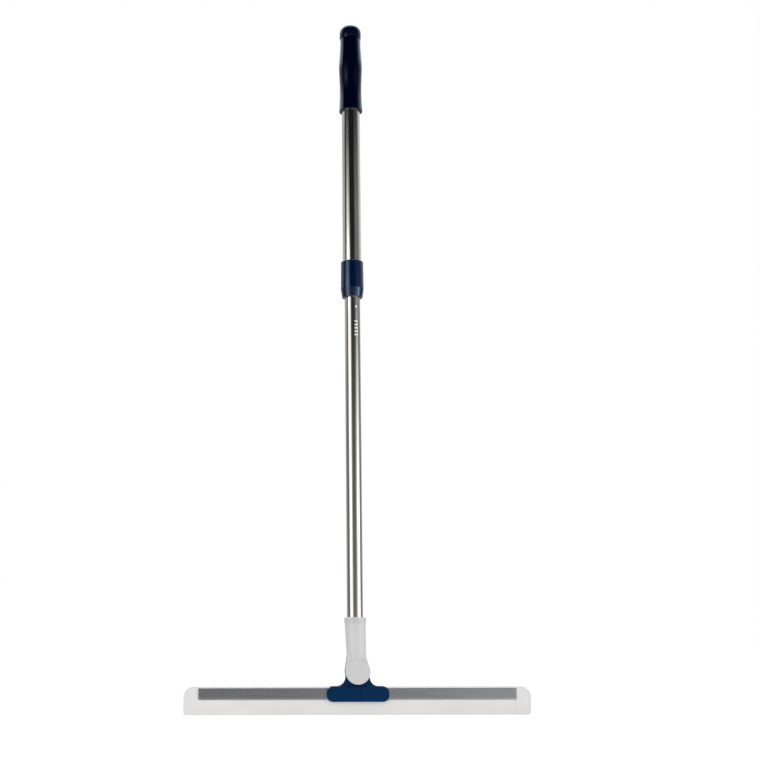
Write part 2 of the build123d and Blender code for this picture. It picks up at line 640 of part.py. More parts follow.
os.makedirs("parts", exist_ok=True)
for name, piece in pieces.items():
    piece.part.label = name
    export_step(piece.part, f"parts/{name}.step")
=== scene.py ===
import math
from collections import namedtuple

import bmesh
import bpy
from mathutils import Matrix, Vector, noise
from mathutils.bvhtree import BVHTree


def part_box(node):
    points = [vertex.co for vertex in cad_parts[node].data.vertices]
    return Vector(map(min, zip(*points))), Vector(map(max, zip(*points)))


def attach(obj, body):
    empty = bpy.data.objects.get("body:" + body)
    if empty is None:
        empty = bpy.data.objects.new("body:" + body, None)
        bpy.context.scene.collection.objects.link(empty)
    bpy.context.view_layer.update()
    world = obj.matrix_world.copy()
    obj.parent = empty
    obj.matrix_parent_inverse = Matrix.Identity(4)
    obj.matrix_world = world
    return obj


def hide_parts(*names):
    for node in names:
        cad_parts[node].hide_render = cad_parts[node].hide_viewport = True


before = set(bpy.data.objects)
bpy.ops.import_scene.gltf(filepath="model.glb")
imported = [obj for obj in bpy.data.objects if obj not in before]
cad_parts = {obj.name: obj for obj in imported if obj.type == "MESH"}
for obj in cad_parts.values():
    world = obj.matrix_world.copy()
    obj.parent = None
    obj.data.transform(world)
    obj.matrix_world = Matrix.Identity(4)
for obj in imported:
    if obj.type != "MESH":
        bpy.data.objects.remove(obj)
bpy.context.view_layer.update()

bl_info = {
    "name": "Telescopic Window Squeegee",
    "version": (1, 0, 0),
    "blender": (4, 5, 0),
    "location": "3D Viewport > Sidebar > Squeegee",
    "description": "Dresses the window squeegee: steel tubes, moulded plastics, foam blade and studio",
    "category": "Object",
}

MM = 0.001
WHITE = (1.0, 1.0, 1.0, 1.0)

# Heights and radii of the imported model, in metres.
BLADE_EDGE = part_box("blade")[0].z
COLLAR_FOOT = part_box("lock_collar")[0].z
SOCKET_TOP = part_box("knuckle")[1].z
TUBE_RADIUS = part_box("inner_tube")[1].x
SOCKET_RADIUS = 13.6 * MM  # of the knuckle's socket, where its ribs are
SKIN_SEARCH = 40.0 * MM  # from the pole's axis: outside all that the marks and the ribs lie on

# The marks below the lock, and the ribs below the socket's top.
MARKS_TURN = math.radians(24.5)  # bearing round the tube, to the right of its front
DOT_DROP = 13.9 * MM  # dot below the collar
BARS_DROP = 34.0 * MM  # first bar below the collar
BAR_SLANTS = (-0.05, 0.1, 0.1, 0.1, 0.1)  # rise of each bar over its run to the right
BAR_CORNER = 0.8 * MM
INK = 0.05 * MM  # how far ink stands proud; it goes as deep, so no gap shows under it
MARK_ROWS = 10
MARK_COLUMNS = 8
MARK_THIN = 0.02 * MM  # half width left at the tips of a round mark
RIBS_DROP = 1.2 * MM
RIB_STEPS = 10
RIB_BURIED = -0.25 * MM  # lift of a rib's lower edges, inside the socket's wall
RIB_THIN = 0.01 * MM  # height left at a rib's ends
# Across a rib: place as a share of half its width, and rise as a share of its height, None where buried.
RIB_PROFILE = ((-1.0, None), (-0.7, 0.55), (-0.25, 1.0), (0.25, 1.0), (0.7, 0.55), (1.0, None))

# The foam blade, in millimetres.
EDGE_ROUND = 0.9  # rounding of all its edges
EDGE_HALF = 3.5  # half its thickness at the wiping edge
SKIVE = 12.0  # height over which it is pared down to that
TOP_CORNER = 12.0  # radius of the upper corners of its ends
FOOT_CORNER = 4.0  # radius of the lower ones
LIP_BITE = 1.05  # how deep the channel's lips press into it
LIP_REACH = 2.6  # how far below the lips the squeeze still shows
LIP_STEPS = (2.4, 1.7, 1.1, 0.6, 0.25, 0.0)  # levels below the lips that carry the squeeze
LIP_CLEAR = 3.2  # how far below them the evenly spaced levels end
ARC_STEPS = 4  # levels round each rounded edge
SKIVE_STEPS = 8  # evenly spaced levels below the lips
GRIPPED_STEPS = 6  # and above them, inside the channel
FREE_START = 0.4  # it starts to swell back this far inside the channel's end
FREE_RUN = 3.0  # and has swollen back after this much more
EVEN_STEP = 6.0  # spacing of cross-sections along the channel
EVEN_CLEAR = 4.0  # and how far before its end they stop
CHANNEL_STEPS = (-3.0, -1.6, -0.8, -0.3, 0.2, 0.7, 1.3, 2.0, 3.0, 4.2)  # cross-sections about its end
# Cross-sections short of the blade's end.
END_STEPS = (12.0, 10.5, 9.0, 7.5, 6.2, 5.0, 4.0, 3.1, 2.3, 1.6, 1.0, 0.6, 0.3, 0.1, 0.0)
THIN_HALF = 0.05  # half thickness left at its very ends
WANDER = 0.12  # how far the cut faces wander; they are set back by as much, to keep to the blade's size
WANDER_LENGTH = 23.0  # from one swell to the next

# The room that shiny surfaces mirror: first the level of the dark gap in front of the tool, by height above
# the horizon in degrees, then the lit panels round it, each laid over those before it. A panel is its level,
# its warmth and its left, right, foot and top edges, each as the angles where it starts and where it is full.
# A bearing is 0 in front of the tool and grows to its right.
FRONT_GAP = ((-20, 0.42), (-5, 0.34), (2, 0.24), (7, 0.19), (10, 0.14), (13, 0.07), (17, 0.025), (22, 0.018),
             (26, 0.006), (60, 0.05))
GAP_WARMTH = 1.2
ROOM_PANELS = (
    (0.66, 0.0, None, (-86, -104), None, None),  # left wall
    (0.20, 0.4, None, (-87, -97), None, (16, 6)),  # left wall, low down
    (0.42, 0.2, None, (-103, -120), None, (16, 6)),  # left wall, low down and further back
    (0.78, 0.0, None, (-118, -148), None, None),  # backdrop, left half
    (0.27, 0.0, (20, 46), None, None, (25, 18)),  # right wall
    (0.68, 0.0, (82, 98), None, None, None),  # right wall, back part
    (1.00, 0.0, (98, 130), None, None, None),  # backdrop, right half
    (0.31, 0.0, (80, 90), None, None, (17, 13)),  # right wall, low down
    (0.85, 0.0, (116, 148), None, None, (17, 13)),  # backdrop, right half, low down
    (0.45, 0.0, (150, 176), None, None, None),  # far end of the backdrop, right
    (0.45, 0.0, None, (-150, -176), None, None),  # far end of the backdrop, left
    (1.95, 0.4, (-84, -56), (-16, -51), None, (19, 13)),  # cream softbox on the left
    (1.95, 0.4, (-84, -56), (-22, -54), None, (24.0, 15)),  # taller part of it
    (5.20, 0.3, (-76, -58), (-30, -50), (14.5, 15.0), (17.0, 16.0)),  # its lamp, seen through the cloth
    (3.60, 0.3, (-60, -56), (-45, -49), None, (13.0, 11.0)),  # lower part of that lamp
    (1.95, 0.3, (16, 54), (97, 66), None, (13, 4)),  # low white window on the right
    (1.95, 0.3, (34, 70), (94, 66), None, (17, 8)),  # taller part of that window
    (4.60, -1.0, (54, 58), (74, 70), None, (8, 5)),  # the sky in it
    (1.40, 0.0, (4, 15), (110, 80), None, (1, -6)),  # floor in front of that window
    (0.95, 0.0, None, (-84, -96), (22, 25), None),  # upper backdrop, left
    (0.45, -3.0, (50, 95), (125, 110), (22, 25), None),  # cool skylight, upper right
    (0.95, 0.0, (100, 124), None, (22, 25), None),  # upper backdrop, right
    (2.60, 0.4, None, (-84, -100), (24, 27), None),  # top of the backdrop, left
    (1.90, -2.0, (84, 104), None, (24, 27), None),  # top of the backdrop, right
    (1.70, -1.0, None, None, (52, 72), None),  # ceiling
    (0.14, -12.0, (14, 34), (90, 78), (14.4, 15.0), (16.2, 15.9)),  # dim blue band over that window
    (0.50, -0.6, None, None, None, (-14, -32)),  # floor round the tool
    (0.95, 0.0, (14, 50), (120, 84), None, (-14, -32)),  # floor lit by the window
    (1.10, 0.3, (-98, -66), (-14, -44), None, (-14, -32)),  # floor lit by the softbox
    (0.85, 0.0, (140, 165), None, None, (-14, -32)),  # floor lit by the backdrop
)
PANEL_PEAK = max(panel[0] for panel in ROOM_PANELS)
WARM_GREEN = 0.065  # share of green that one step of warmth takes away
WARM_BLUE = 0.14  # and of blue

# The lamps: bearing in degrees; distance from the pole, height from the hang hole and side in metres; watts.
LAMPS = (
    ("left_softbox", -25.0, 1.35, -0.85, 0.8, 4.2),
    ("right_softbox", 80.0, 2.2, -0.2, 1.2, 11.5),
)
LAMP_AIM = 0.8  # they point this share of the way from the hang hole down to the blade's edge
FLOOR_SIZE = 12.0  # metres from the pole to the floor's sides
FLOOR_DROP = 185 * MM  # floor below the blade's edge: clear of it when it hangs along the drawn-out pole
FLOOR_GLOW = 0.45  # lifts the floor to nearly white for the camera alone
SENSOR_WIDTH = 36.0  # millimetres
CLIP_NEAR = 0.01  # metres
CLIP_FAR = 100.0


def linear(hex_colour):
    """Turn an sRGB hex colour into a linear RGBA tuple."""
    channels = [int(hex_colour[i:i + 2], 16) / 255 for i in (1, 3, 5)]
    return tuple(c / 12.92 if c <= 0.04045 else ((c + 0.055) / 1.055) ** 2.4 for c in channels) + (1.0,)


def add(tree, kind, inputs=None, **settings):
    """Add a node with its settings; inputs maps a socket to a value or to the socket that feeds it."""
    node = tree.nodes.new(kind)
    for name, value in settings.items():
        setattr(node, name, value)
    for socket, value in (inputs or {}).items():
        if isinstance(value, bpy.types.NodeSocket):
            tree.links.new(value, node.inputs[socket])
        else:
            node.inputs[socket].default_value = value
    return node


def blank_material(name):
    """Start a material without any nodes; returns it and its tree."""
    material = bpy.data.materials.new(name)
    material.use_nodes = True
    material.node_tree.nodes.clear()
    return material, material.node_tree


def surface(name, **inputs):
    """Start a material with one principled surface; returns the material, its tree and the shader."""
    material, tree = blank_material(name)
    shader = add(tree, "ShaderNodeBsdfPrincipled", {k.replace("_", " "): v for k, v in inputs.items()})
    add(tree, "ShaderNodeOutputMaterial", {"Surface": shader.outputs[0]})
    return material, tree, shader


def grain(tree, size_mm, detail=2.0, stretch=(1.0, 1.0, 1.0)):
    """Noise whose lumps are size_mm across; stretch makes them longer along an axis."""
    place = add(tree, "ShaderNodeTexCoord")
    scale = tuple(1.0 / (size_mm * MM * longer) for longer in stretch)
    scaled = add(tree, "ShaderNodeVectorMath", {0: place.outputs["Object"], 1: scale}, operation="MULTIPLY")
    lumps = add(tree, "ShaderNodeTexNoise", {"Vector": scaled.outputs[0], "Scale": 1.0, "Detail": detail})
    return lumps.outputs[0]


def vary(tree, shader, colour, roughness, fade, cloud, swing, rub, depth_mm, bump):
    """Let noises vary a surface: colour down to a fade, roughness by a swing, relief by a depth."""
    noise_span = {"From Min": 0.3, "From Max": 0.7}  # where most of a noise lies
    shade = tuple(c * fade for c in colour[:3]) + (1.0,)
    share = add(tree, "ShaderNodeMapRange", {"Value": cloud, **noise_span}).outputs[0]
    mottled = add(tree, "ShaderNodeMix", {0: share, 6: shade, 7: colour}, data_type="RGBA").outputs[2]
    rough = add(tree, "ShaderNodeMapRange", {
        "Value": rub, "To Min": roughness * (1.0 - swing), "To Max": roughness * (1.0 + swing), **noise_span,
    }).outputs[0]
    relief = add(tree, "ShaderNodeBump", {"Height": bump, "Distance": depth_mm * MM}).outputs[0]
    tree.links.new(mottled, shader.inputs["Base Color"])
    tree.links.new(rough, shader.inputs["Roughness"])
    tree.links.new(relief, shader.inputs["Normal"])


# ---------------------------------------------------------------- finishes
def buffed_steel(name, colour, roughness):
    """Drawn stainless tube, buffed: a near-mirror with faint lengthwise draw lines and handling haze."""
    material, tree, shader = surface(name, Metallic=1.0, Anisotropic=0.35)
    # Draw lines are under 0.1 mm apart and run the tube's length; these are as fine and as long as shows.
    lines = grain(tree, 0.35, stretch=(1.0, 1.0, 160.0))
    haze = grain(tree, 14.0, detail=3.0, stretch=(1.0, 1.0, 3.0))  # a fingertip wide
    vary(tree, shader, colour, roughness, fade=0.93, cloud=haze, swing=0.25, rub=haze,
         depth_mm=0.002, bump=lines)
    return material


def brushed_steel(name, colour, roughness):
    """Rolled and brushed stainless strip: scratches along it smear what it mirrors upwards, not sideways."""
    material, tree, shader = surface(name, Metallic=1.0, Anisotropic=0.8, Anisotropic_Rotation=0.25)
    # A brush leaves scratches under 0.1 mm apart; these are as fine as shows, and lie along the strip.
    scratches = grain(tree, 0.3, detail=3.0, stretch=(60.0, 1.0, 1.0))
    streaks = grain(tree, 1.6, stretch=(40.0, 1.0, 1.0))
    vary(tree, shader, colour, roughness, fade=0.86, cloud=streaks, swing=0.2, rub=scratches,
         depth_mm=0.01, bump=scratches)
    return material


def moulded_plastic(name, colour, roughness, fade=0.88, gloss=0.5, sheen=WHITE, peel_mm=1.8, ior=1.5):
    """Injection-moulded plastic: even colour, slight flow mottling and the mould's faint orange peel."""
    material, tree, shader = surface(name, IOR=ior, Specular_IOR_Level=gloss, Specular_Tint=sheen)
    flow = grain(tree, 9.0, detail=3.0, stretch=(1.0, 1.0, 2.5))
    peel = grain(tree, peel_mm)
    vary(tree, shader, colour, roughness, fade=fade, cloud=flow, swing=0.15, rub=flow,
         depth_mm=0.004, bump=peel)
    return material


def satin_metal(name, colour, roughness):
    """Plated or drawn metal of small hardware: satin and slightly cloudy."""
    material, tree, shader = surface(name, Metallic=1.0)
    cloud = grain(tree, 0.8, detail=3.0)  # coarser than the metal's own crystals, so it shows
    vary(tree, shader, colour, roughness, fade=0.8, cloud=cloud, swing=0.2, rub=cloud,
         depth_mm=0.004, bump=cloud)
    return material


def screen_ink(name, colour, roughness):
    """Baked screen-printing ink: matt and thick enough to hide the steel, slightly uneven."""
    material, tree, shader = surface(name, IOR=1.5)
    blot = grain(tree, 0.7)  # coarser than the weave of the screen, so it shows
    vary(tree, shader, colour, roughness, fade=0.92, cloud=blot, swing=0.15, rub=blot,
         depth_mm=0.02, bump=blot)
    return material


def skived_foam(name, colour, roughness, cell_mm):
    """Closed-cell foam cut with a blade: matt, with the open faces of its cells as fine pits."""
    material, tree, shader = surface(name, IOR=1.45)
    place = add(tree, "ShaderNodeTexCoord")
    cells = add(tree, "ShaderNodeTexVoronoi", {
        "Vector": place.outputs["Object"], "Scale": 1.0 / (cell_mm * MM)})
    drift = grain(tree, 30.0, detail=3.0, stretch=(2.0, 1.0, 1.0))
    vary(tree, shader, colour, roughness, fade=0.94, cloud=drift, swing=0.05, rub=drift,
         depth_mm=0.03, bump=cells.outputs[0])
    return material


def dress(material, *nodes):
    """Give CAD nodes a material."""
    for name in nodes:
        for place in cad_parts[name].material_slots:
            place.material = material


# ---------------------------------------------------------------- shapes
def skin(node):
    """Search tree of a CAD node's surface, to lay fine relief on it."""
    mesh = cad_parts[node].data
    return BVHTree.FromPolygons([v.co for v in mesh.vertices], [tuple(p.vertices) for p in mesh.polygons])


def raised(tree, turn, z, lift):
    """Point lifted off the skin at a bearing round the pole: 0 is the front, a quarter turn the right."""
    out = Vector((math.sin(turn), -math.cos(turn), 0.0))
    point = tree.ray_cast(out * SKIN_SEARCH + Vector((0.0, 0.0, z)), -out)[0]
    if point is None:
        raise RuntimeError(f"no surface at height {z:.4f}")
    return point + out * lift


def tube_of_rings(built, rings):
    """Close a row of vertex rings into a solid."""
    for near, far in zip(rings, rings[1:]):
        for i in range(len(near)):
            j = (i + 1) % len(near)
            built.faces.new((near[i], near[j], far[j], far[i]))
    built.faces.new(reversed(rings[0]))
    built.faces.new(rings[-1])


def piece(context, built, name, material, body):
    """Turn a built mesh into a named piece that rides on a body."""
    bmesh.ops.recalc_face_normals(built, faces=built.faces)
    mesh = bpy.data.meshes.new(name)
    built.to_mesh(mesh)
    built.free()
    mesh.shade_smooth()
    mesh.materials.append(material)
    made = bpy.data.objects.new(name, mesh)
    context.scene.collection.objects.link(made)
    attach(made, body)
    return made


def rounding(radius, gap):
    """How far a rounded corner has cut in, at a gap from the side that it turns into."""
    past = max(0.0, radius - gap)
    return radius - math.sqrt(max(0.0, radius * radius - past * past))


def rib(built, tree, turn, sizes):
    """One slanted rib on the socket, swelling from its ends."""
    rings = []
    for i in range(RIB_STEPS + 1):
        along = i / RIB_STEPS
        z = SOCKET_TOP - RIBS_DROP - sizes.rib_length * along
        middle = turn + sizes.rib_slant * along
        swell = sizes.rib_height * math.sqrt(math.sin(math.pi * along)) + RIB_THIN
        rings.append([
            built.verts.new(raised(tree, middle + side * sizes.rib_width / 2 / SOCKET_RADIUS, z,
                                   RIB_BURIED if rise is None else rise * swell))
            for side, rise in RIB_PROFILE])
    tube_of_rings(built, rings)


def print_mark(built, tree, z, width, height, corner, slant):
    """One patch of ink with rounded corners, wrapped round the tube."""
    rings = []
    for i in range(MARK_ROWS + 1):
        down = -math.cos(math.pi * i / MARK_ROWS) * height / 2
        half = max(MARK_THIN, width / 2 - rounding(corner, height / 2 - abs(down)))
        across = [half * (2 * j / MARK_COLUMNS - 1) for j in range(MARK_COLUMNS + 1)]
        ring = [(u, INK) for u in across] + [(u, -INK) for u in reversed(across)]
        rings.append([built.verts.new(raised(tree, MARKS_TURN + u / TUBE_RADIUS, z - down + slant * u, lift))
                      for u, lift in ring])
    tube_of_rings(built, rings)


BladeSize = namedtuple("BladeSize", "middle half foot height thick_half lips clamp_half")


def measure_blade():
    """Sizes of the blade and places of the channel on it, in millimetres, from their boxes."""
    low, high = (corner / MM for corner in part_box("blade"))
    channel_low, channel_high = (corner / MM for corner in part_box("clamp_channel"))
    return BladeSize(
        middle=(low.x + high.x) / 2, half=(high.x - low.x) / 2, foot=low.z, height=high.z - low.z,
        thick_half=(high.y - low.y) / 2, lips=channel_low.z - low.z,
        clamp_half=(channel_high.x - channel_low.x) / 2)


def blade_stations(size):
    """Places of the cross-sections from its middle, close together at its ends and at the channel's ends."""
    side = [EVEN_STEP * i for i in range(int((size.clamp_half - EVEN_CLEAR) / EVEN_STEP) + 1)]
    side += [size.clamp_half + step for step in CHANNEL_STEPS]
    side += [size.half - step for step in END_STEPS]
    return [-x for x in reversed(side)] + side[1:]


def blade_levels(foot, top, lips):
    """Heights of a cross-section's points, close together at its rounded edges and at the channel's lips."""
    low = foot + EDGE_ROUND
    high = top - EDGE_ROUND
    turns = [i * math.pi / 2 / ARC_STEPS for i in range(ARC_STEPS + 1)]
    levels = [foot + EDGE_ROUND * (1 - math.cos(turn)) for turn in turns]
    levels += [low + (lips - LIP_CLEAR - low) * i / SKIVE_STEPS for i in range(1, SKIVE_STEPS + 1)]
    levels += [lips - step for step in LIP_STEPS]
    levels += [lips + (high - lips) * i / GRIPPED_STEPS for i in range(1, GRIPPED_STEPS + 1)]
    levels += [top - EDGE_ROUND * (1 - math.sin(turn)) for turn in turns[1:]]
    return levels


def blade_ring(built, x, size):
    """One cross-section of the foam blade at x from its middle, as a closed ring of vertices."""
    end_gap = size.half - abs(x)
    foot = rounding(FOOT_CORNER, end_gap)
    top = size.height - rounding(TOP_CORNER, end_gap)
    free = min(1.0, max(0.0, (abs(x) - size.clamp_half + FREE_START) / FREE_RUN))
    free = free * free * (3.0 - 2.0 * free)
    outline = []
    for z in blade_levels(foot, top, size.lips):
        wide = EDGE_HALF + (size.thick_half - EDGE_HALF) * min(1.0, z / SKIVE)
        wide -= LIP_BITE * min(1.0, max(0.0, 1.0 - (size.lips - z) / LIP_REACH)) ** 2 * (1.0 - free)
        wide -= rounding(EDGE_ROUND, min(z - foot, top - z)) + rounding(EDGE_ROUND, end_gap)
        outline.append((max(THIN_HALF, wide), z))
    wander = WANDER * noise.noise(Vector((x / WANDER_LENGTH, 0.0, 0.0)))
    ring = [(y - WANDER, z) for y, z in outline] + [(WANDER - y, z) for y, z in reversed(outline)]
    return [built.verts.new(((size.middle + x) * MM, (y + wander) * MM, (size.foot + z) * MM))
            for y, z in ring]


# ---------------------------------------------------------------- studio
def light_colour(level, warmth):
    """Colour of a mirrored light as a share of the brightest panel; warmth takes green and blue away."""
    share = level / PANEL_PEAK
    return share, share * (1.0 - WARM_GREEN * warmth), share * (1.0 - WARM_BLUE * warmth), 1.0


def paint_gap(ramp):
    """Fill a colour ramp with the levels of the dark gap."""
    low = FRONT_GAP[0][0]
    high = FRONT_GAP[-1][0]
    elements = ramp.color_ramp.elements
    while len(elements) < len(FRONT_GAP):
        elements.new(0.5)  # anywhere, as each stop is placed below
    for element, (height, level) in zip(elements, FRONT_GAP):
        element.position = (height - low) / (high - low)
        element.color = light_colour(level, GAP_WARMTH)


def panel_cover(tree, edges):
    """How far a panel covers each direction, from 0 to 1; each edge fades in along its own angle."""
    cover = None
    for angle, edge in edges:
        if edge is None:
            continue
        fade = add(tree, "ShaderNodeMapRange", {
            "Value": angle, "From Min": math.radians(edge[0]), "From Max": math.radians(edge[1]),
        }, interpolation_type="SMOOTHSTEP").outputs[0]
        if cover is None:
            cover = fade
        else:
            cover = add(tree, "ShaderNodeMath", {0: cover, 1: fade}, operation="MULTIPLY").outputs[0]
    return cover


def mirrored_room(tree):
    """Colour of the room by direction: the dark gap in front, with every panel laid over it in turn."""
    place = add(tree, "ShaderNodeTexCoord")
    axes = add(tree, "ShaderNodeSeparateXYZ", {0: place.outputs["Generated"]})
    front = add(tree, "ShaderNodeMath", {0: axes.outputs["Y"], 1: -1.0}, operation="MULTIPLY").outputs[0]
    bearing = add(tree, "ShaderNodeMath", {0: axes.outputs["X"], 1: front}, operation="ARCTAN2").outputs[0]
    rise = add(tree, "ShaderNodeMath", {0: axes.outputs["Z"]}, operation="ARCSINE").outputs[0]
    along_gap = add(tree, "ShaderNodeMapRange", {
        "Value": rise, "From Min": math.radians(FRONT_GAP[0][0]), "From Max": math.radians(FRONT_GAP[-1][0]),
    }).outputs[0]
    gap = add(tree, "ShaderNodeValToRGB", {0: along_gap})
    paint_gap(gap)
    room = gap.outputs[0]
    for level, warmth, left, right, foot, top in ROOM_PANELS:
        cover = panel_cover(tree, ((bearing, left), (bearing, right), (rise, foot), (rise, top)))
        room = add(tree, "ShaderNodeMix", {0: cover, 6: room, 7: light_colour(level, warmth)},
                   data_type="RGBA").outputs[2]
    return room


def lay_floor(context):
    """Large white paper floor that keeps shadows, clear of the head even when it hangs along the pole."""
    mesh = bpy.data.meshes.new("studio_floor")
    built = bmesh.new()
    bmesh.ops.create_grid(built, x_segments=8, y_segments=8, size=FLOOR_SIZE)
    built.to_mesh(mesh)
    built.free()
    floor = bpy.data.objects.new("studio_floor", mesh)
    floor.location = (0.0, 0.0, BLADE_EDGE - FLOOR_DROP)
    context.scene.collection.objects.link(floor)
    # Matt paper: an even pale ground under soft shadows.
    material, tree = blank_material("Matt white paper")
    paper = add(tree, "ShaderNodeBsdfDiffuse", {"Color": linear("#e9e9e9")})
    path = add(tree, "ShaderNodeLightPath")
    lift = add(tree, "ShaderNodeMath", {0: path.outputs["Is Camera Ray"], 1: FLOOR_GLOW},
               operation="MULTIPLY")
    glow = add(tree, "ShaderNodeEmission", {"Strength": lift.outputs[0]})
    lit = add(tree, "ShaderNodeAddShader", {0: paper.outputs[0], 1: glow.outputs[0]})
    add(tree, "ShaderNodeOutputMaterial", {"Surface": lit.outputs[0]})
    mesh.materials.append(material)
    floor.visible_glossy = False


def light_room(context, daylight):
    """Even daylight on everything; reflections show the room instead, and the camera sees plain white."""
    world = bpy.data.worlds.new("Studio")
    context.scene.world = world
    world.use_nodes = True
    tree = world.node_tree
    tree.nodes.clear()
    path = add(tree, "ShaderNodeLightPath")
    even = add(tree, "ShaderNodeBackground", {"Color": WHITE, "Strength": daylight})
    mirrored = add(tree, "ShaderNodeBackground", {"Color": mirrored_room(tree), "Strength": PANEL_PEAK})
    plain = add(tree, "ShaderNodeBackground", {"Color": WHITE, "Strength": 1.0})
    shiny = add(tree, "ShaderNodeMixShader", {
        0: path.outputs["Is Glossy Ray"], 1: even.outputs[0], 2: mirrored.outputs[0]})
    seen = add(tree, "ShaderNodeMixShader", {
        0: path.outputs["Is Camera Ray"], 1: shiny.outputs[0], 2: plain.outputs[0]})
    add(tree, "ShaderNodeOutputWorld", {"Surface": seen.outputs[0]})


def hang_lamps(context):
    """Two square softboxes that shape the matt surfaces; reflections show the room's own lights instead."""
    for name, bearing, reach, height, side, watts in LAMPS:
        lamp = bpy.data.lights.new(name, "AREA")
        lamp.shape = "SQUARE"
        lamp.size = side
        lamp.energy = watts
        holder = bpy.data.objects.new(name, lamp)
        angle = math.radians(bearing)
        holder.location = (reach * math.sin(angle), -reach * math.cos(angle), height)
        aim = Vector((0.0, 0.0, BLADE_EDGE * LAMP_AIM)) - holder.location
        holder.rotation_euler = aim.to_track_quat("-Z", "Y").to_euler()
        holder.visible_glossy = False
        context.scene.collection.objects.link(holder)


def place_camera(context, studio):
    """Low camera in front of the pole, looking up."""
    camera = bpy.data.cameras.new("camera")
    camera.sensor_width = SENSOR_WIDTH
    camera.lens = studio.lens
    camera.shift_x = studio.frame_shift
    camera.clip_start = CLIP_NEAR
    camera.clip_end = CLIP_FAR
    holder = bpy.data.objects.new("camera", camera)
    place = Vector((-studio.side, -studio.distance, BLADE_EDGE + studio.height))
    turned = Matrix.Rotation(-studio.turn, 4, "Z")
    tilted = Matrix.Rotation(math.pi / 2 + studio.pitch, 4, "X")
    holder.matrix_world = turned @ Matrix.Translation(place) @ tilted
    context.scene.collection.objects.link(holder)
    context.scene.camera = holder


# ---------------------------------------------------------------- settings
class FinishSettings(bpy.types.PropertyGroup):
    """Colours and finishes of the squeegee's surfaces."""

    steel: bpy.props.FloatVectorProperty(
        name="Tube steel", description="Colour of the polished tubes", subtype="COLOR", size=4,
        min=0.0, max=1.0, default=linear("#c2c1bd"))
    steel_roughness: bpy.props.FloatProperty(
        name="Tube roughness", description="Roughness of the polished tubes", subtype="FACTOR",
        default=0.09, min=0.0, max=1.0)
    strip: bpy.props.FloatVectorProperty(
        name="Channel steel", description="Colour of the brushed channel", subtype="COLOR", size=4,
        min=0.0, max=1.0, default=linear("#c3c5ca"))
    grip: bpy.props.FloatVectorProperty(
        name="Grip", description="Colour of the grip and its cap", subtype="COLOR", size=4,
        min=0.0, max=1.0, default=linear("#01031c"))
    collar: bpy.props.FloatVectorProperty(
        name="Lock collar", description="Colour of the lock collar", subtype="COLOR", size=4,
        min=0.0, max=1.0, default=linear("#000f37"))
    bracket: bpy.props.FloatVectorProperty(
        name="Bracket", description="Colour of the bracket", subtype="COLOR", size=4,
        min=0.0, max=1.0, default=linear("#012b51"))
    knuckle: bpy.props.FloatVectorProperty(
        name="Knuckle", description="Colour of the white knuckle", subtype="COLOR", size=4,
        min=0.0, max=1.0, default=linear("#d7d7d8"))
    ribs: bpy.props.FloatVectorProperty(
        name="Socket ribs", description="Colour of the rubbed ribs on the socket", subtype="COLOR", size=4,
        min=0.0, max=1.0, default=linear("#cdcec7"))
    ink: bpy.props.FloatVectorProperty(
        name="Ink", description="Colour of the marks on the lower tube", subtype="COLOR", size=4,
        min=0.0, max=1.0, default=linear("#f4f4f0"))
    sheen: bpy.props.FloatVectorProperty(
        name="Navy gloss", description="Tint that grip and bracket give to what they mirror",
        subtype="COLOR", size=4, min=0.0, max=1.0, default=linear("#a6dcff"))
    collar_sheen: bpy.props.FloatVectorProperty(
        name="Collar gloss", description="Tint that the lock collar gives to what it mirrors",
        subtype="COLOR", size=4, min=0.0, max=1.0, default=linear("#cdeeff"))
    foam: bpy.props.FloatVectorProperty(
        name="Foam", description="Colour of the blade", subtype="COLOR", size=4,
        min=0.0, max=1.0, default=linear("#ecebea"))
    cell: bpy.props.FloatProperty(
        name="Foam cell", default=0.9, min=0.1, max=5.0,
        description="Width of a foam cell in millimetres, drawn coarser than life so it shows")


class DetailSettings(bpy.types.PropertyGroup):
    """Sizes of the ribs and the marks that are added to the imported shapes."""

    rib_count: bpy.props.IntProperty(
        name="Ribs", description="Slanted ribs round the mouth of the socket", default=22, min=6, max=90)
    rib_length: bpy.props.FloatProperty(
        name="Rib length", description="Height of a rib along the pole", default=7.0 * MM, min=0.0,
        unit="LENGTH")
    rib_width: bpy.props.FloatProperty(
        name="Rib width", description="Width of a rib at its root", default=1.9 * MM, min=0.0, unit="LENGTH")
    rib_height: bpy.props.FloatProperty(
        name="Rib height", description="How far a rib stands proud at its middle", default=0.32 * MM,
        min=0.0, unit="LENGTH")
    rib_slant: bpy.props.FloatProperty(
        name="Rib slant", description="Turn round the pole from a rib's top to its foot",
        default=math.radians(22.0), subtype="ANGLE")
    dot: bpy.props.FloatProperty(
        name="Dot", description="Width of the printed dot", default=3.2 * MM, min=0.0, unit="LENGTH")
    bar_width: bpy.props.FloatProperty(
        name="Bar width", description="Width of a printed bar", default=5.2 * MM, min=0.0, unit="LENGTH")
    bar_height: bpy.props.FloatProperty(
        name="Bar height", description="Height of a printed bar", default=2.0 * MM, min=0.0, unit="LENGTH")
    bar_pitch: bpy.props.FloatProperty(
        name="Bar pitch", description="Distance from bar to bar", default=4.6 * MM, min=0.0, unit="LENGTH")


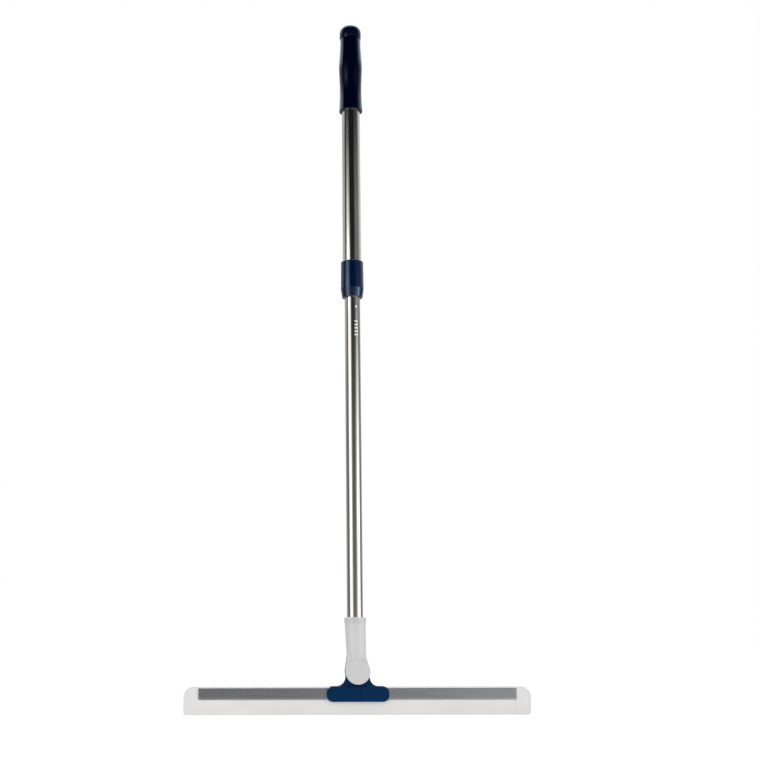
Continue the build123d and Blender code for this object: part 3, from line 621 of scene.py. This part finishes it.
class StudioSettings(bpy.types.PropertyGroup):
    """Camera and light."""

    distance: bpy.props.FloatProperty(
        name="Distance", description="Camera to pole along the floor", default=1.631, unit="LENGTH")
    height: bpy.props.FloatProperty(
        name="Height", description="Camera above the blade's edge", default=0.1196, unit="LENGTH")
    side: bpy.props.FloatProperty(
        name="Side step", description="Camera to the left of the pole", default=0.0728, unit="LENGTH")
    turn: bpy.props.FloatProperty(
        name="Turn", description="Left end of the blade turned towards the camera",
        default=math.radians(1.58), subtype="ANGLE")
    pitch: bpy.props.FloatProperty(
        name="Pitch", description="Camera looking up", default=math.radians(10.8), subtype="ANGLE")
    lens: bpy.props.FloatProperty(
        name="Lens", description="Focal length in millimetres", default=59.21, min=10.0, max=300.0)
    frame_shift: bpy.props.FloatProperty(
        name="Frame shift", default=0.1076, min=-0.5, max=0.5,
        description="How far the frame is moved right to hold the whole blade, as a share of it")
    daylight: bpy.props.FloatProperty(
        name="Room light", description="Strength of the even light all round", default=0.74, min=0.0, max=5.0)


# ---------------------------------------------------------------- operators
class SQUEEGEE_OT_tubes(bpy.types.Operator):
    """Dress the two steel tubes"""

    bl_idname = "squeegee.tubes"
    bl_label = "Tubes"

    def execute(self, context):
        finish = context.scene.squeegee_finish
        # Buffed stainless steel: a near-mirror that shows the room as upright stripes.
        steel = buffed_steel("Buffed stainless tube", tuple(finish.steel), finish.steel_roughness)
        dress(steel, "outer_tube", "inner_tube")
        return {"FINISHED"}


class SQUEEGEE_OT_grip(bpy.types.Operator):
    """Dress the grip and its end cap"""

    bl_idname = "squeegee.grip"
    bl_label = "Grip"

    def execute(self, context):
        finish = context.scene.squeegee_finish
        # Polypropylene from a polished mould: nearly black, with clear but soft-edged bluish reflections.
        navy = moulded_plastic("Polished navy polypropylene", tuple(finish.grip), roughness=0.14, gloss=0.3,
                               sheen=tuple(finish.sheen))
        dress(navy, "grip", "end_cap")
        return {"FINISHED"}


class SQUEEGEE_OT_lock(bpy.types.Operator):
    """Dress the twist lock and the pole's inner plastics"""

    bl_idname = "squeegee.lock"
    bl_label = "Twist lock"

    def execute(self, context):
        finish = context.scene.squeegee_finish
        # Polycarbonate from a polished mould: deep navy under a harder, brighter gloss than the grip's.
        navy = moulded_plastic("Polished navy polycarbonate", tuple(finish.collar), roughness=0.13,
                               sheen=tuple(finish.collar_sheen), ior=1.6)
        dress(navy, "lock_collar")
        # Moulded acetal: waxy and smooth with a broad dull gloss, here pigmented black.
        black = moulded_plastic("Moulded black acetal", linear("#15151a"), roughness=0.35)
        dress(black, "lock_sleeve", "inner_end_plug", "tube_plug")
        # The same without pigment: milky off-white.
        milky = moulded_plastic("Moulded natural acetal", linear("#d2d0c8"), roughness=0.35)
        dress(milky, "clamp_ring", "guide_ring")
        return {"FINISHED"}


class SQUEEGEE_OT_marks(bpy.types.Operator):
    """Print the dot and the five bars below the lock, which show how far the pole is drawn out"""

    bl_idname = "squeegee.marks"
    bl_label = "Length marks"

    def execute(self, context):
        finish = context.scene.squeegee_finish
        sizes = context.scene.squeegee_detail
        tree = skin("inner_tube")
        built = bmesh.new()
        print_mark(built, tree, COLLAR_FOOT - DOT_DROP, sizes.dot, sizes.dot, sizes.dot / 2, 0.0)
        for i, slant in enumerate(BAR_SLANTS):
            print_mark(built, tree, COLLAR_FOOT - BARS_DROP - sizes.bar_pitch * i, sizes.bar_width,
                       sizes.bar_height, BAR_CORNER, slant)
        # Baked screen ink: matt white patches on the shiny tube.
        ink = screen_ink("Baked white screen ink", tuple(finish.ink), roughness=0.45)
        piece(context, built, "length_marks", ink, "lower_pole")
        return {"FINISHED"}


class SQUEEGEE_OT_knuckle(bpy.types.Operator):
    """Dress the knuckle and its cover disc, and lay the slanted ribs round the mouth of its socket"""

    bl_idname = "squeegee.knuckle"
    bl_label = "Knuckle"

    def execute(self, context):
        finish = context.scene.squeegee_finish
        sizes = context.scene.squeegee_detail
        # Polypropylene from a fine-blasted mould: clean white with a broad soft highlight.
        white = moulded_plastic("Blasted white polypropylene", tuple(finish.knuckle), roughness=0.38,
                                fade=0.96)
        dress(white, "knuckle", "pivot_cap")
        # The same where fingers rub it: a little greyer and duller, with a finer peel.
        rubbed = moulded_plastic("Rubbed white polypropylene", tuple(finish.ribs), roughness=0.45, fade=0.9,
                                 peel_mm=0.8)
        tree = skin("knuckle")
        built = bmesh.new()
        for i in range(sizes.rib_count):
            rib(built, tree, 2 * math.pi * i / sizes.rib_count, sizes)
        piece(context, built, "socket_ribs", rubbed, "lower_pole")
        return {"FINISHED"}


class SQUEEGEE_OT_hardware(bpy.types.Operator):
    """Dress bolt, nut, washers, bush and screws"""

    bl_idname = "squeegee.hardware"
    bl_label = "Hardware"

    def execute(self, context):
        # Zinc-plated steel: cool satin grey.
        zinc = satin_metal("Zinc-plated steel", linear("#b9bcbd"), roughness=0.32)
        dress(zinc, "pivot_bolt", "pivot_nut", "pivot_washer", "spring_washer", "socket_screw",
              "clamp_screws")
        # Drawn brass: warm yellow, a little smoother.
        dress(satin_metal("Drawn brass", linear("#c9a550"), roughness=0.3), "pivot_bush")
        # Moulded nylon: dull black.
        nylon = moulded_plastic("Moulded black nylon", linear("#1a1b1e"), roughness=0.5)
        dress(nylon, "friction_washers")
        return {"FINISHED"}


class SQUEEGEE_OT_head(bpy.types.Operator):
    """Dress bracket and channel"""

    bl_idname = "squeegee.head"
    bl_label = "Head"

    def execute(self, context):
        finish = context.scene.squeegee_finish
        # Polypropylene from a fine-blasted mould: dark blue with a weak satin gloss.
        blue = moulded_plastic("Blasted blue polypropylene", tuple(finish.bracket), roughness=0.36, gloss=0.2,
                               sheen=tuple(finish.sheen))
        dress(blue, "bracket")
        # Brushed stainless steel: grey, with highlights smeared across its height.
        strip = brushed_steel("Brushed stainless strip", tuple(finish.strip), roughness=0.34)
        dress(strip, "clamp_channel")
        return {"FINISHED"}


class SQUEEGEE_OT_blade(bpy.types.Operator):
    """Build the foam blade: die-cut ends, skived edge, squeezed where the channel grips it"""

    bl_idname = "squeegee.blade"
    bl_label = "Foam blade"

    def execute(self, context):
        finish = context.scene.squeegee_finish
        size = measure_blade()
        built = bmesh.new()
        tube_of_rings(built, [blade_ring(built, x, size) for x in blade_stations(size)])
        # Skived EVA foam: soft matt white, finely pitted.
        white = skived_foam("Skived white EVA foam", tuple(finish.foam), roughness=0.85, cell_mm=finish.cell)
        foam = piece(context, built, "foam_blade", white, "head")
        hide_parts("blade")
        return {"FINISHED"}


class SQUEEGEE_OT_studio(bpy.types.Operator):
    """Set the floor, the lamps and the camera"""

    bl_idname = "squeegee.studio"
    bl_label = "Studio"

    def execute(self, context):
        studio = context.scene.squeegee_studio
        context.scene.view_settings.view_transform = "Standard"
        lay_floor(context)
        light_room(context, studio.daylight)
        hang_lamps(context)
        place_camera(context, studio)
        return {"FINISHED"}


class SQUEEGEE_PT_panel(bpy.types.Panel):
    """Lists the squeegee's pieces"""

    bl_idname = "SQUEEGEE_PT_panel"
    bl_label = "Window Squeegee"
    bl_space_type = "VIEW_3D"
    bl_region_type = "UI"
    bl_category = "Squeegee"

    def draw(self, context):
        for operator in OPERATORS:
            self.layout.operator(operator.bl_idname)


OPERATORS = (SQUEEGEE_OT_tubes, SQUEEGEE_OT_grip, SQUEEGEE_OT_lock, SQUEEGEE_OT_marks, SQUEEGEE_OT_knuckle,
             SQUEEGEE_OT_hardware, SQUEEGEE_OT_head, SQUEEGEE_OT_blade, SQUEEGEE_OT_studio)
CLASSES = (FinishSettings, DetailSettings, StudioSettings) + OPERATORS + (SQUEEGEE_PT_panel,)


def register():
    """Register the classes and hang the settings on the scene."""
    for item in CLASSES:
        bpy.utils.register_class(item)
    bpy.types.Scene.squeegee_finish = bpy.props.PointerProperty(type=FinishSettings)
    bpy.types.Scene.squeegee_detail = bpy.props.PointerProperty(type=DetailSettings)
    bpy.types.Scene.squeegee_studio = bpy.props.PointerProperty(type=StudioSettings)


def unregister():
    """Take the settings and the classes away again."""
    del bpy.types.Scene.squeegee_finish
    del bpy.types.Scene.squeegee_detail
    del bpy.types.Scene.squeegee_studio
    for item in reversed(CLASSES):
        bpy.utils.unregister_class(item)


def main():
    """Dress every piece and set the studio."""
    register()
    for operator in OPERATORS:
        getattr(bpy.ops.squeegee, operator.bl_idname.split(".")[1])()


if __name__ == "__main__":
    main()
